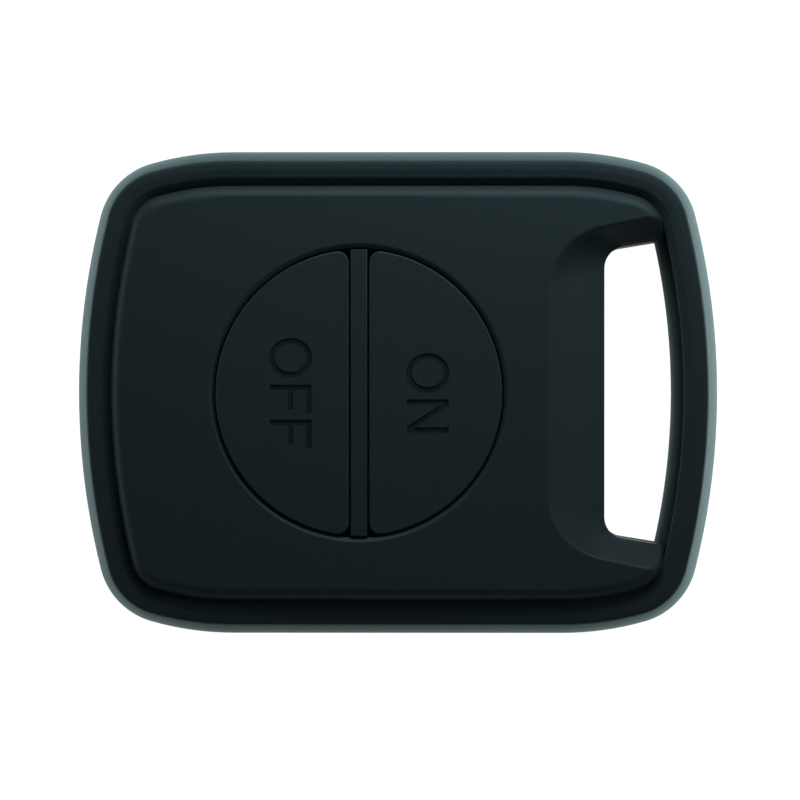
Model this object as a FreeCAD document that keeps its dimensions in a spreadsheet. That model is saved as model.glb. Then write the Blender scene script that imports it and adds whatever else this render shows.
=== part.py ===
import FreeCAD, Part
import math
import os
import Sketcher

# Alarm remote control: a two-key fob with a soft band round its rim and a strap slot.
# Millimetres. +X runs along the length towards the strap slot, +Z is up through the keys,
# and the rear cover lies flat on Z = 0 with the outline centred on the Z axis.

os.makedirs("parts", exist_ok=True)
doc = FreeCAD.newDocument("alarm_remote")

sizes = {
    # outline of the whole remote, made of tangent arcs; its length follows from what it holds
    "overall_width": 42.2,
    "shoulder_start": 13.6,     # from the outline's end to where its straight side ends
    "shoulder_radius": 26.4,
    "corner_radius": 6.4,
    "end_radius": 63.6,
    # section of the bumper band: insets from the outline, heights above the parting plane
    "flank_inset": 1.07,
    "flank_height": 5.2,
    "crest_inset": 1.77,
    "crest_height": 5.2,
    "slope_inset": 2.45,
    "slope_height": 5.03,
    "band_edge_radius": 0.35,
    "band_inset": 3.05,
    "chamfer_height": 4.2,
    "tongue_height": 2.5,
    "tongue_inset": 4.05,
    "tongue_edge_radius": 0.45,
    # covers
    "band_gap": 0.12,           # round the covers, inside the band
    "tongue_gap": 0.1,          # over and behind the band's tongue
    "lip_wall": 1.25,
    "front_skin": 1.6,
    "rear_skin": 1.4,
    "cover_edge_radius": 1.2,
    "crown_radius": 600.0,
    "dish_wall": 0.4,           # between the cavity and the rim of the dish
    "crown_spare": 1.0,         # the crown's cutter stands this far over the top
    "seat_gap": 0.05,           # between faces that rest on each other
    # strap slot and the dish that leads into it
    "slot_room": 5.95,          # from the slot's straight edge to the band's tongue
    "slot_corner_y": 10.82,
    "slot_corner_radius": 1.9,
    "slot_flare": 14.4,
    "flare_reach": 12.0,        # the flares are measured this far past the slot's start
    "dish_depth": 3.1,
    "dish_mid_depth": 1.5,
    "dish_rise": 0.2,
    "dish_end_radius": 0.5,
    "rim_setback": 5.4,         # the dish's three outlines start this far before the slot
    "rim_corner_y": 8.5,
    "rim_corner_radius": 6.2,
    "rim_flare": 18.0,
    "mid_setback": 2.9,
    "mid_corner_y": 9.7,
    "mid_corner_radius": 4.0,
    "mid_flare": 15.9,
    "root_advance": 0.4,        # past the slot's start
    "root_corner_y": 10.9,
    "root_corner_radius": 1.7,
    "root_flare": 14.2,
    "slot_wall": 1.6,
    "core_wall": 1.2,
    "core_half": 9.0,
    "core_height": 2.1,
    "core_radius": 1.0,
    # key disc
    "carrier_start_gap": 4.3,   # between the key carrier and the two ends of the cavity
    "carrier_end_gap": 0.5,
    "carrier_side_gap": 0.7,
    "rim_bevel": 0.42,
    "key_gap": 0.12,
    "key_drop": 0.1,            # key tops lie this far under the crown of the cover
    "key_edge_radius": 0.18,
    "key_corner_radius": 1.0,
    "key_wall": 1.2,
    "flange_reach": 0.8,
    "flange_height": 0.7,
    "flange_gap": 0.2,
    "boss_radius": 2.5,
    "bridge_width": 1.44,
    "bridge_gap": 0.14,
    "bridge_edge_radius": 0.1,
    "carrier_gap": 0.15,
    "carrier_width": 1.65,
    "carrier_height": 1.45,
    "peg_radius": 0.55,
    "peg_clearance": 0.1,
    # keypad mat and tact switches
    "mat_thickness": 0.6,
    "mat_inset": 0.7,           # inside the key carrier's outer edge
    "mat_skirt": 1.2,
    "mat_boss_radius": 1.5,
    "mat_boss_height": 0.3,
    "switch_spread": 6.0,
    "switch_width": 4.5,
    "switch_height": 1.8,
    "plate_thickness": 0.2,
    "plunger_radius": 1.1,
    "plunger_height": 0.6,
    "plunger_clearance": 0.1,
    "plunger_depth": 0.6,
    "key_travel": 0.5,
    # circuit board
    "board_thickness": 1.0,
    "board_start_gap": 1.8,     # between the board and the cavity's walls
    "board_end_gap": 1.4,
    "board_side_gap": 1.1,
    "board_clearance": 0.25,
    "post_radius": 1.0,
    "post_clearance": 0.46,
    "post_angle": 40.0,         # of the posts round the disc, in degrees from X
    # cell and its contacts
    "cell_radius": 10.0,
    "cell_height": 3.2,
    "cell_cap_radius": 8.6,
    "cell_cap_height": 0.3,
    "cell_edge_radius": 0.4,
    "cradle_clearance": 1.0,
    "cradle_wall": 0.8,
    "cradle_height": 2.0,
    "strap_width": 6.0,
    "strap_thickness": 0.25,
    "strap_clearance": 0.2,
    "contact_height": 0.55,     # from the cell up to the board
    "contact_radius": 3.2,
    "contact_thickness": 0.12,
    # screws
    "left_screw_x": 9.0,        # in from the outline's end
    "left_screw_y": 7.6,        # in from the outline's sides
    "right_screw_x": 1.2,       # before the cavity's end wall
    "right_screw_y": 6.8,
    "screw_boss_radius": 2.5,
    "head_radius": 1.7,
    "head_height": 1.2,
    "head_clearance": 0.15,
    "head_recess": 1.9,
    "shank_radius": 0.95,
    "shank_clearance": 0.05,
    "shank_length": 8.1,
    "pilot_spare": 0.4,
    "cross_width": 0.5,
    "cross_length": 2.0,
    "cross_depth": 0.7,
    # parts on the board
    "chip_setback": 5.5,        # in from the mat's skirt
    "chip_length": 4.9,
    "chip_width": 3.9,
    "chip_height": 1.4,
    "lead_count": 4,
    "lead_pitch": 1.27,
    "lead_width": 0.42,
    "lead_reach": 1.0,
    "lead_thickness": 0.25,
    "crystal_length": 3.2,
    "crystal_width": 2.5,
    "crystal_height": 0.8,
    "crystal_lid_height": 0.3,
    "crystal_x": 5.4,
    "small_length": 1.6,
    "small_width": 0.8,
    "small_height": 0.5,
    "small_pitch": 1.7,
    "small_x": 5.2,             # from the disc's middle, away from the slot
    "wire_radius": 0.4,
    "antenna_half": 7.5,
    "antenna_drop": 2.2,
    "antenna_bend": 1.2,
    "antenna_gap": 0.8,
}

sheet = doc.addObject("Spreadsheet::Sheet", "Sizes")
for row, (name, value) in enumerate(sizes.items(), start=1):
    sheet.set("A%d" % row, name)
    sheet.set("B%d" % row, str(value))
    sheet.setAlias("B%d" % row, name)
doc.recompute()


class Size:
    """A number together with the sheet formula that gives it."""

    def __init__(self, value, formula):
        self.value = value
        self.formula = formula

    def __add__(self, other):
        other = asSize(other)
        return Size(self.value + other.value, "(%s + %s)" % (self.formula, other.formula))

    def __sub__(self, other):
        other = asSize(other)
        return Size(self.value - other.value, "(%s - %s)" % (self.formula, other.formula))

    def __mul__(self, other):
        other = asSize(other)
        return Size(self.value * other.value, "(%s * %s)" % (self.formula, other.formula))

    def __truediv__(self, other):
        other = asSize(other)
        return Size(self.value / other.value, "(%s / %s)" % (self.formula, other.formula))

    def __neg__(self):
        return Size(-self.value, "(0 - %s)" % self.formula)


def asSize(number):
    return number if isinstance(number, Size) else Size(float(number), str(number))


class Sheet:
    """Reads a named size of the sheet as sheet value and formula together."""

    def __getattr__(self, name):
        return Size(float(sheet.get(name)), "Sizes." + name)


d = Sheet()
zero = asSize(0)
vec = FreeCAD.Vector


def turned(radius, angle):
    """The X and Y reach of a radius at an angle in degrees."""
    turn = math.radians(angle.value)
    return (Size(radius.value * math.cos(turn), "(%s * cos(%s * 1 deg))" % (radius.formula, angle.formula)),
            Size(radius.value * math.sin(turn), "(%s * sin(%s * 1 deg))" % (radius.formula, angle.formula)))


# Levels, from the rear cover's floor up through the cell, board, switches and keys
strap_base = d.rear_skin + d.seat_gap
cell_base = strap_base + d.strap_thickness + d.seat_gap
cell_top = cell_base + d.cell_height
board_base = cell_top + d.contact_height
board_top = board_base + d.board_thickness
switch_top = board_top + d.switch_height
plunger_top = switch_top + d.plunger_height
mat_base = plunger_top + d.seat_gap + d.mat_boss_height
mat_top = mat_base + d.mat_thickness
carrier_base = mat_top + d.seat_gap
carrier_top = carrier_base + d.carrier_height
front_ceiling = carrier_top + d.seat_gap
top = front_ceiling + d.front_skin
key_top = top - d.key_drop
flange_top = front_ceiling - d.flange_gap
flange_base = flange_top - d.flange_height
half_height = top / 2
middle = half_height

# Insets from the outline
half_width = d.overall_width / 2
cover_inset = d.band_inset + d.band_gap
lip_inset = d.tongue_inset + d.tongue_gap
cavity_inset = lip_inset + d.lip_wall

# Radii of the key disc, from the cavity's side walls inwards
carrier_outer = half_width - cavity_inset - d.carrier_side_gap
carrier_inner = carrier_outer - d.carrier_width
flange_radius = carrier_inner - d.carrier_gap
key_radius = flange_radius - d.flange_reach
hole_radius = key_radius + d.key_gap
peg_circle = (carrier_inner + carrier_outer) / 2

# Length: cavity, key carrier, wall, dish, strap slot and the band's bar
cavity_length = d.carrier_start_gap + carrier_outer * 2 + d.carrier_end_gap
slot_lead = d.dish_wall + d.rim_setback
overall_length = cavity_inset + cavity_length + slot_lead + d.slot_room + d.tongue_inset
half_length = overall_length / 2
flat_half = half_length - d.shoulder_start
slot_start = half_length - d.tongue_inset - d.slot_room
flare_station = slot_start + d.flare_reach
rim_start = slot_start - d.rim_setback
mid_start = slot_start - d.mid_setback
root_start = slot_start + d.root_advance
cavity_end = rim_start - d.dish_wall
disc_x = cavity_end - d.carrier_end_gap - carrier_outer
mat_radius = carrier_outer - d.mat_inset
mat_inner = mat_radius - d.mat_skirt
chip_row = mat_inner - d.chip_setback
cradle_inner = d.cell_radius + d.cradle_clearance
cradle_outer = cradle_inner + d.cradle_wall
antenna_x = disc_x + cradle_outer + d.antenna_gap + d.wire_radius


# Bodies, sketches and constraints

def newBody(label):
    body = doc.addObject("PartDesign::Body", label)
    body.Label = label
    return body


def newSketch(body, name, role="XY_Plane", x=zero, y=zero, z=zero):
    """A sketch on one of the body's own origin planes, moved by x, y, z in that plane's axes."""
    sketch = body.newObject("Sketcher::SketchObject", name)
    plane = [feature for feature in body.Origin.OriginFeatures if feature.Role == role][0]
    sketch.AttachmentSupport = [(plane, "")]
    sketch.MapMode = "FlatFace"
    sketch.AttachmentOffset = FreeCAD.Placement(vec(x.value, y.value, z.value), FreeCAD.Rotation())
    for axis, offset in (("x", x), ("y", y), ("z", z)):
        sketch.setExpression("AttachmentOffset.Base." + axis, offset.formula)
    return sketch


def dimension(sketch, *terms):
    """Adds a dimension whose last term is a Size and binds it to the sheet."""
    size = asSize(terms[-1])
    number = sketch.addConstraint(Sketcher.Constraint(*terms[:-1], size.value))
    sketch.setExpression("Constraints[%d]" % number, size.formula)


def locate(sketch, curve, point, x=None, y=None):
    """Holds a point of a curve at x, y from the sketch's origin."""
    for kind, size in (("DistanceX", x), ("DistanceY", y)):
        if size is None:
            continue
        size = asSize(size)
        if size.value < 0:
            dimension(sketch, kind, curve, point, -1, 1, -size)
        else:
            dimension(sketch, kind, -1, 1, curve, point, size)


def line(start, end):
    return Part.LineSegment(vec(start[0], start[1], 0), vec(end[0], end[1], 0))


def arc(centre, radius, first, last):
    """An arc that runs counter-clockwise between the directions of two points."""
    begin = math.atan2(first[1] - centre[1], first[0] - centre[0])
    finish = math.atan2(last[1] - centre[1], last[0] - centre[0])
    if finish <= begin:
        finish += 2 * math.pi
    circle = Part.Circle(vec(centre[0], centre[1], 0), vec(0, 0, 1), radius)
    return Part.ArcOfCircle(circle, begin, finish)


def addLoop(sketch, curves, smooth):
    """Adds a closed loop of curves; joint i, from curve i to the next, is tangent if in smooth."""
    first = sketch.addGeometry(curves, False)[0]
    count = len(curves)
    for i in range(count):
        follows = first + (i + 1) % count
        kind = "Tangent" if i in smooth else "Coincident"
        sketch.addConstraint(Sketcher.Constraint(kind, first + i, 2, follows, 1))
    return first


def addCircle(sketch, x, y, radius):
    x, y, radius = asSize(x), asSize(y), asSize(radius)
    circle = Part.Circle(vec(x.value, y.value, 0), vec(0, 0, 1), radius.value)
    number = sketch.addGeometry(circle, False)
    locate(sketch, number, 3, x, y)
    dimension(sketch, "Radius", number, radius)


def addRectangle(sketch, left, right, low, high):
    left, right, low, high = asSize(left), asSize(right), asSize(low), asSize(high)
    corners = [(left.value, low.value), (right.value, low.value),
               (right.value, high.value), (left.value, high.value)]
    curves = [line(corners[i], corners[(i + 1) % 4]) for i in range(4)]
    first = addLoop(sketch, curves, ())
    for i, kind in enumerate(("Horizontal", "Vertical", "Horizontal", "Vertical")):
        sketch.addConstraint(Sketcher.Constraint(kind, first + i))
    locate(sketch, first, 1, left, low)
    locate(sketch, first + 2, 1, right, high)


# Features

def finishFeature(body, feature):
    doc.recompute()
    body.Tip = feature
    return feature


def pad(body, sketch, length, up=True):
    feature = body.newObject("PartDesign::Pad", sketch.Name + "_pad")
    feature.Profile = sketch
    feature.setExpression("Length", asSize(length).formula)
    feature.Reversed = not up
    return finishFeature(body, feature)


def pocket(body, sketch, length, up=True):
    """Cuts the profile away over a length, towards +Z when up is true."""
    before = body.Shape.Volume
    feature = body.newObject("PartDesign::Pocket", sketch.Name + "_pocket")
    feature.Profile = sketch
    feature.setExpression("Length", asSize(length).formula)
    feature.Reversed = up
    finishFeature(body, feature)
    if feature.Shape.Volume >= before - 1e-6:
        raise RuntimeError(sketch.Name + " cut nothing")
    return feature


def revolve(body, sketch):
    """Turns the profile about the sketch's own vertical axis."""
    feature = body.newObject("PartDesign::Revolution", sketch.Name + "_turned")
    feature.Profile = sketch
    feature.ReferenceAxis = (sketch, ["V_Axis"])
    feature.Angle = 360
    return finishFeature(body, feature)


def edgeNames(shape, test):
    """Names of the edges that pass a test."""
    return ["Edge%d" % (i + 1) for i, edge in enumerate(shape.Edges) if test(edge)]


def roundEdges(body, radius, test, name):
    base = body.Tip
    feature = body.newObject("PartDesign::Fillet", name)
    feature.Base = (base, edgeNames(base.Shape, test))
    feature.setExpression("Radius", asSize(radius).formula)
    return finishFeature(body, feature)


def bevelEdges(body, size, test, name):
    base = body.Tip
    feature = body.newObject("PartDesign::Chamfer", name)
    feature.Base = (base, edgeNames(base.Shape, test))
    feature.setExpression("Size", asSize(size).formula)
    return finishFeature(body, feature)


def near(value, size, slack=0.002):
    return abs(value - asSize(size).value) < slack


def spots(edge):
    """Points spread along an edge, its ends among them."""
    span = edge.LastParameter - edge.FirstParameter
    return [edge.valueAt(edge.FirstParameter + span * i / 8) for i in range(9)]


def flatAt(size):
    """Picks edges that lie in the level plane at one height."""
    return lambda edge: all(near(point.z, size) for point in spots(edge))


def upright(edge):
    """Picks straight edges that stand along Z."""
    points = spots(edge)
    return all(near(p.x, points[0].x) and near(p.y, points[0].y) for p in points)


def polar(body, feature, count):
    pattern = body.newObject("PartDesign::PolarPattern", feature.Name + "_ring")
    pattern.Originals = [feature]
    sketch = feature.Profile[0]
    pattern.Axis = (sketch, ["N_Axis"])
    pattern.Angle = 360
    pattern.Occurrences = count
    return finishFeature(body, pattern)


# Outline: straight sides, shoulder arcs, corner arcs and nearly flat ends, all tangent

def cornerCentre():
    """Centre of the corner arcs, where the arcs inside the shoulder and the end cross."""
    shoulder = (flat_half.value, (half_width - d.shoulder_radius).value)
    end = ((half_length - d.end_radius).value, 0.0)
    span = math.hypot(end[0] - shoulder[0], end[1] - shoulder[1])
    reach = (d.shoulder_radius - d.corner_radius).value
    far = (d.end_radius - d.corner_radius).value
    along = (reach ** 2 - far ** 2 + span ** 2) / (2 * span)
    across = math.sqrt(reach ** 2 - along ** 2)
    ux = (end[0] - shoulder[0]) / span
    uy = (end[1] - shoulder[1]) / span
    crossings = [(shoulder[0] + ux * along - uy * across * side,
                  shoulder[1] + uy * along + ux * across * side) for side in (1, -1)]
    return max(crossings)


def beyond(centre, through, radius):
    """The point of a circle in the direction from its centre through another centre."""
    gap = math.hypot(through[0] - centre[0], through[1] - centre[1])
    return (centre[0] + (through[0] - centre[0]) / gap * radius,
            centre[1] + (through[1] - centre[1]) / gap * radius)


outline_slack = 0.03  # a swept or cut edge strays less than this from the true outline
dish_end_rise = 0.2   # the edges that close a dish climb more than this


def insetAt(point):
    """How far inside the outline a point lies on plan."""
    x, y = abs(point.x), abs(point.y)
    if x < flat_half.value:
        return half_width.value - y
    corner = cornerCentre()
    shoulder = (flat_half.value, (half_width - d.shoulder_radius).value)
    end = ((half_length - d.end_radius).value, 0.0)
    turn = math.atan2(y - corner[1], x - corner[0])
    centre, radius = corner, d.corner_radius.value
    if turn > math.atan2(corner[1] - shoulder[1], corner[0] - shoulder[0]):
        centre, radius = shoulder, d.shoulder_radius.value
    elif turn < math.atan2(corner[1] - end[1], corner[0] - end[0]):
        centre, radius = end, d.end_radius.value
    return radius - math.hypot(x - centre[0], y - centre[1])


def endChain(side, inset):
    """Five arcs round one end of the outline, counter-clockwise."""
    r1 = (d.shoulder_radius - inset).value
    r2 = (d.corner_radius - inset).value
    r3 = (d.end_radius - inset).value
    flat = flat_half.value
    side_y = (half_width - inset).value
    shoulder = (flat, side_y - r1)
    end = ((half_length - d.end_radius).value, 0.0)
    corner = cornerCentre()
    high = beyond(shoulder, corner, r1)
    low = beyond(end, corner, r3)

    def put(point, up):
        return (point[0] * side, point[1] * side * up)

    return [arc(put(shoulder, -1), r1, put((flat, side_y), -1), put(high, -1)),
            arc(put(corner, -1), r2, put(high, -1), put(low, -1)),
            arc(put(end, 1), r3, put(low, -1), put(low, 1)),
            arc(put(corner, 1), r2, put(low, 1), put(high, 1)),
            arc(put(shoulder, 1), r1, put(high, 1), put((flat, side_y), 1))]


def bindEnd(sketch, first, side, inset):
    """Dimensions of the five arcs of one end."""
    for i in (0, 4):
        dimension(sketch, "Radius", first + i, d.shoulder_radius - inset)
    for i in (1, 3):
        dimension(sketch, "Radius", first + i, d.corner_radius - inset)
    dimension(sketch, "Radius", first + 2, d.end_radius - inset)
    locate(sketch, first + 2, 3, (half_length - d.end_radius) * side, zero)


def outlineSketch(body, name, height, inset, stop=None):
    """The outline at an inset; with a stop, it ends there in a straight line across."""
    inset = asSize(inset)
    side_y = half_width - inset
    flat = flat_half
    sketch = newSketch(body, name, z=height)
    right = flat if stop is None else stop
    upper = line((right.value, side_y.value), (-flat.value, side_y.value))
    lower = line((-flat.value, -side_y.value), (right.value, -side_y.value))
    if stop is None:
        n = addLoop(sketch, [upper] + endChain(-1, inset) + [lower] + endChain(1, inset), range(12))
        bindEnd(sketch, n + 7, 1, inset)
    else:
        across = line((stop.value, -side_y.value), (stop.value, side_y.value))
        n = addLoop(sketch, [upper] + endChain(-1, inset) + [lower, across], range(6))
    bindEnd(sketch, n + 1, -1, inset)
    for i, near_end, far_end, y in ((0, 1, 2, side_y), (6, 2, 1, -side_y)):
        locate(sketch, n + i, near_end, right, y)
        locate(sketch, n + i, far_end, -flat)
        sketch.addConstraint(Sketcher.Constraint("Horizontal", n + i))
    return sketch


# Slot shape: a straight edge, two tangent corner arcs and ends that flare out to a station

def slotSketch(body, name, height, start, corner_y, radius, flare):
    centre_x = start + radius
    station = flare_station
    away = (station - centre_x).value
    up = (flare - corner_y).value
    angle = math.atan2(up, away) + math.acos(radius.value / math.hypot(away, up))
    touch = (centre_x.value + radius.value * math.cos(angle),
             corner_y.value + radius.value * math.sin(angle))
    edge = (start.value, corner_y.value)
    tip = (station.value, flare.value)

    def below(point):
        return (point[0], -point[1])

    centre = (centre_x.value, corner_y.value)
    curves = [line(tip, touch), arc(centre, radius.value, touch, edge), line(edge, below(edge)),
              arc(below(centre), radius.value, below(edge), below(touch)),
              line(below(touch), below(tip)), line(below(tip), tip)]
    sketch = newSketch(body, name, z=height)
    n = addLoop(sketch, curves, (0, 1, 2, 3))
    locate(sketch, n, 1, station, flare)
    locate(sketch, n + 5, 1, station, -flare)
    for i, side in ((1, 1), (3, -1)):
        dimension(sketch, "Radius", n + i, radius)
        locate(sketch, n + i, 3, y=corner_y * side)
    locate(sketch, n + 2, 1, x=start)
    sketch.addConstraint(Sketcher.Constraint("Vertical", n + 2))
    return sketch


# Half disc: an arc about the disc centre, a flat side and rounded corners

def halfDiscSketch(body, name, height, side, radius, flat, corner):
    x_corner = (flat + corner).value
    y_corner = math.sqrt((radius - corner).value ** 2 - x_corner ** 2)
    grow = radius.value / (radius - corner).value
    tangent = (x_corner * grow, y_corner * grow)
    edge = (flat.value, y_corner)
    if side > 0:
        curves = [arc((0, 0), radius.value, (tangent[0], -tangent[1]), tangent),
                  arc((x_corner, y_corner), corner.value, tangent, (x_corner - corner.value, y_corner)),
                  line(edge, (edge[0], -edge[1])),
                  arc((x_corner, -y_corner), corner.value, (edge[0], -y_corner),
                      (tangent[0], -tangent[1]))]
    else:
        curves = [arc((0, 0), radius.value, (-tangent[0], tangent[1]), (-tangent[0], -tangent[1])),
                  arc((-x_corner, -y_corner), corner.value, (-tangent[0], -tangent[1]),
                      (-edge[0], -y_corner)),
                  line((-edge[0], -edge[1]), (-edge[0], edge[1])),
                  arc((-x_corner, y_corner), corner.value, (-edge[0], y_corner),
                      (-tangent[0], tangent[1]))]
    sketch = newSketch(body, name, x=disc_x, z=height)
    n = addLoop(sketch, curves, range(4))
    sketch.addConstraint(Sketcher.Constraint("Coincident", n, 3, -1, 1))
    dimension(sketch, "Radius", n, radius)
    dimension(sketch, "Radius", n + 1, corner)
    dimension(sketch, "Radius", n + 3, corner)
    sketch.addConstraint(Sketcher.Constraint("Vertical", n + 2))
    locate(sketch, n + 2, 1, x=flat * side)
    return sketch


# Bumper band: its section is swept once round the outline

def bumperFrame():
    body = newBody("bumper_frame")
    spine = outlineSketch(body, "band_path", middle, zero)
    section = newSketch(body, "band_section", "YZ_Plane", z=flat_half)
    flank_radius = ((d.flank_inset * d.flank_inset + d.flank_height * d.flank_height)
                    / (d.flank_inset * 2))
    bulge = (d.tongue_inset - d.band_inset - d.tongue_edge_radius).value
    rise = (d.tongue_height - d.tongue_edge_radius).value
    lean = 2 * math.atan(bulge / rise)
    tip_radius = rise / math.sin(lean) + d.tongue_edge_radius.value
    w = half_width.value
    m = middle.value

    def at(inset, height):
        return (w - inset, m + height)

    tip = at(d.tongue_inset.value, 0)
    tip_centre = (tip[0] + tip_radius, m)
    joint = (tip_centre[0] - tip_radius * math.cos(lean), m + tip_radius * math.sin(lean))
    upper = [at(d.flank_inset.value, d.flank_height.value), at(d.crest_inset.value, d.crest_height.value),
             at(d.slope_inset.value, d.slope_height.value), at(d.band_inset.value, d.chamfer_height.value),
             at(d.band_inset.value, d.tongue_height.value)]

    def low(point):
        return (point[0], 2 * m - point[1])

    edge_radius = d.tongue_edge_radius.value
    edge_centre = (upper[4][0], upper[4][1] - edge_radius)
    curves = [arc((w - flank_radius.value, m), flank_radius.value, low(upper[0]), upper[0])]
    curves += [line(upper[i], upper[i + 1]) for i in range(4)]
    curves += [arc(edge_centre, edge_radius, upper[4], joint),
               arc(tip_centre, tip_radius, joint, tip),
               arc(tip_centre, tip_radius, tip, low(joint)),
               arc(low(edge_centre), edge_radius, low(joint), low(upper[4]))]
    curves += [line(low(upper[i + 1]), low(upper[i])) for i in (3, 2, 1, 0)]
    n = addLoop(section, curves, (5, 6, 7))
    dimension(section, "Radius", n, flank_radius)
    corners = [(d.flank_inset, d.flank_height), (d.crest_inset, d.crest_height),
               (d.slope_inset, d.slope_height), (d.band_inset, d.chamfer_height),
               (d.band_inset, d.tongue_height)]
    for i, (inset, height) in enumerate(corners):
        locate(section, n + i, 2, half_width - inset, middle + height)
        locate(section, n + (13 - i) % 13, 1, half_width - inset, middle - height)
    for i, point in ((5, 1), (8, 2)):
        dimension(section, "Radius", n + i, d.tongue_edge_radius)
        section.addConstraint(Sketcher.Constraint("Vertical", n + i, 3, n + i, point))
    locate(section, n + 6, 2, half_width - d.tongue_inset, middle)
    section.addConstraint(Sketcher.Constraint("Equal", n + 6, n + 7))
    doc.recompute()
    sweep = body.newObject("PartDesign::AdditivePipe", "band_sweep")
    sweep.Profile = section
    sweep.Spine = spine
    finishFeature(body, sweep)

    def outerEdge(edge):
        return all(near(abs(p.z - m), d.flank_height)
                   and near(insetAt(p), d.flank_inset, outline_slack) for p in spots(edge))

    roundEdges(body, d.band_edge_radius, outerEdge, "band_edge")
    return body


# Covers: the front one is side 1, the rear one side -1, and both grow away from the parting plane

def level(side, height):
    return middle + height * side


def screwSpots():
    left = d.left_screw_x - half_length
    right = cavity_end - d.right_screw_x
    for x, y in ((left, half_width - d.left_screw_y), (right, half_width - d.right_screw_y)):
        yield x, y
        yield x, -y


def postSpots():
    across, along = turned(carrier_outer + d.post_radius + d.post_clearance, d.post_angle)
    for sx in (-1, 1):
        for sy in (-1, 1):
            yield disc_x + across * sx, along * sy


def coverShell(label, side, skin):
    """The outer form that both covers share: stepped rim, dish, strap slot and cavity."""
    half = half_height
    body = newBody(label)
    step = d.tongue_height + d.tongue_gap
    lip = outlineSketch(body, label + "_lip", level(side, zero), lip_inset)
    pad(body, lip, step, side > 0)
    rim = outlineSketch(body, label + "_rim", level(side, step), cover_inset)
    pad(body, rim, half - step, side > 0)
    if side > 0:
        crownCut(body)
    outer = level(side, half)
    low_edge = half - d.cover_edge_radius

    def outerEdge(edge):
        return not upright(edge) and all(abs(p.z - middle.value) > low_edge.value for p in spots(edge))

    roundEdges(body, d.cover_edge_radius, outerEdge, label + "_edge")
    rows = (("rim", half + d.dish_rise, rim_start, d.rim_corner_y, d.rim_corner_radius, d.rim_flare),
            ("mid", half - d.dish_mid_depth, mid_start, d.mid_corner_y, d.mid_corner_radius,
             d.mid_flare),
            ("root", half - d.dish_depth, root_start, d.root_corner_y, d.root_corner_radius,
             d.root_flare))
    wires = [slotSketch(body, label + "_dish_" + name, level(side, height), start, y, radius, flare)
             for name, height, start, y, radius, flare in rows]
    doc.recompute()
    before = body.Shape.Volume
    dish = body.newObject("PartDesign::SubtractiveLoft", label + "_dish")
    dish.Profile = wires[0]
    dish.Sections = wires[1:]
    dish.Ruled = False
    finishFeature(body, dish)
    if dish.Shape.Volume >= before:
        raise RuntimeError(label + " dish cut nothing")
    slot = slotSketch(body, label + "_slot", middle, slot_start, d.slot_corner_y,
                      d.slot_corner_radius, d.slot_flare)
    pocket(body, slot, half + d.dish_rise, side > 0)

    def dishEnd(edge):
        points = spots(edge)
        rise = max(p.z for p in points) - min(p.z for p in points)
        climbs = rise > dish_end_rise and not upright(edge)
        return climbs and all(near(insetAt(p), cover_inset, outline_slack) for p in points)

    roundEdges(body, d.dish_end_radius, dishEnd, label + "_dish_ends")
    hollow = outlineSketch(body, label + "_cavity", middle, cavity_inset, cavity_end)
    pocket(body, hollow, half - skin, side > 0)
    core = newSketch(body, label + "_core", z=middle)
    addRectangle(core, cavity_end + d.core_wall, slot_start - d.slot_wall, -d.core_half, d.core_half)
    pocket(body, core, d.core_height, side > 0)

    def coreCorner(edge):
        end = spots(edge)[0]
        inside = near(end.x, cavity_end + d.core_wall) or near(end.x, slot_start - d.slot_wall)
        return upright(edge) and inside and near(abs(end.y), d.core_half)

    roundEdges(body, d.core_radius, coreCorner, label + "_core_corners")
    bosses = newSketch(body, label + "_bosses", z=middle)
    for x, y in screwSpots():
        addCircle(bosses, x, y, d.screw_boss_radius)
    pad(body, bosses, half - skin, side > 0)
    return body


def crownCut(body):
    """Takes the front face down to a slow arc along the length."""
    half = half_length
    radius = d.crown_radius.value
    peak = top.value
    drop = radius - math.sqrt(radius ** 2 - half.value ** 2)
    left = (-half.value, peak - drop)
    right = (half.value, peak - drop)
    roof = (top + d.crown_spare).value
    sketch = newSketch(body, "front_crown", "XZ_Plane")
    curves = [arc((0, peak - radius), radius, right, left), line(left, (left[0], roof)),
              line((left[0], roof), (right[0], roof)), line((right[0], roof), right)]
    n = addLoop(sketch, curves, ())
    dimension(sketch, "Radius", n, d.crown_radius)
    locate(sketch, n, 3, zero, top - d.crown_radius)
    locate(sketch, n, 1, x=half)
    locate(sketch, n, 2, x=-half)
    for i, kind in ((1, "Vertical"), (2, "Horizontal"), (3, "Vertical")):
        sketch.addConstraint(Sketcher.Constraint(kind, n + i))
    locate(sketch, n + 2, 1, y=top + d.crown_spare)
    before = body.Shape.Volume
    feature = body.newObject("PartDesign::Pocket", "front_crown_pocket")
    feature.Profile = sketch
    feature.SideType = "Symmetric"
    feature.setExpression("Length", (d.overall_width * 2).formula)
    finishFeature(body, feature)
    if feature.Shape.Volume >= before:
        raise RuntimeError("front crown cut nothing")


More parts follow.
